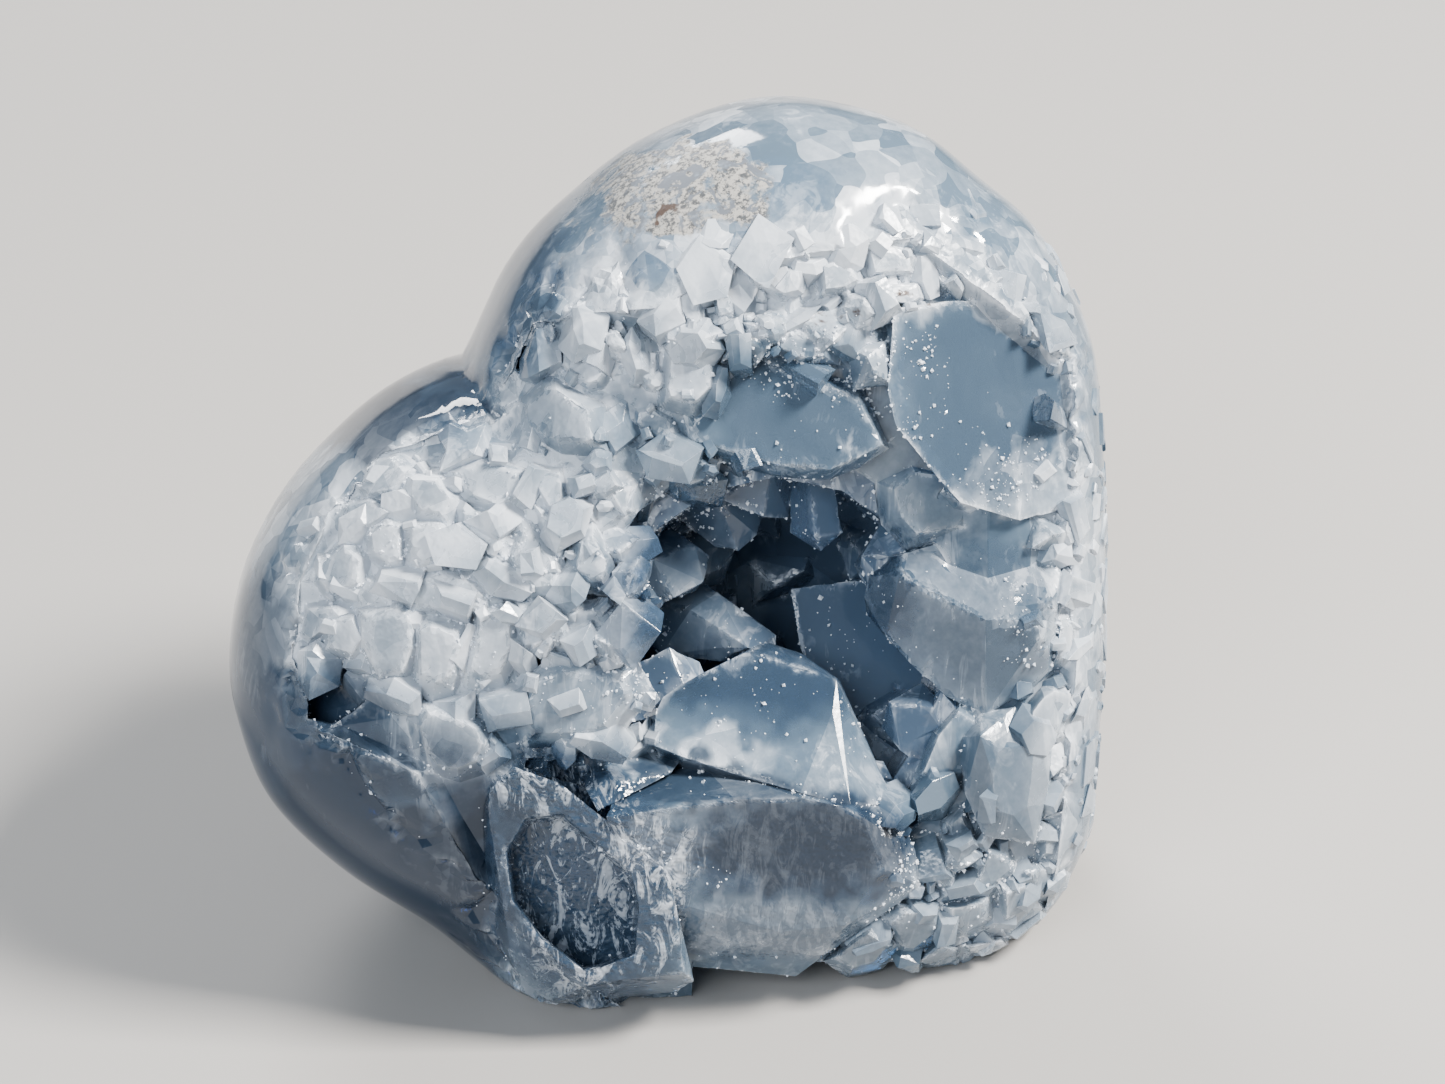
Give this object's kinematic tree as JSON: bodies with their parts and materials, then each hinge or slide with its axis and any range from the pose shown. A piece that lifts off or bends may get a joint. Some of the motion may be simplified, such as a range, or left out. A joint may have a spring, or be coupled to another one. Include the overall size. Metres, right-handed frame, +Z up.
{
  "type": "celestite geode heart",
  "caption": "Polished celestite geode carved as a puffy heart that stands on a flat foot, its front broken open into blocky blue crystals round a deep crystal-lined hollow.",
  "frame": {"origin": "middle of the footprint box, on the flat foot the heart stands on", "axes": "+Z up from the foot, -Y toward the face with the hollow, +X to the right as that face is seen"},
  "size_m": [0.0878, 0.0604, 0.0816],
  "materials": {
    "heart_body": "clear to milky pale blue celestite, polished outside, bright cleavage faces in front",
    "crust": "clear deeper blue celestite crystals with bright flat faces"
  },
  "bodies": {
    "root": {"heart_body": "heart_body", "crust": "crust"}
  },
  "joints": []
}
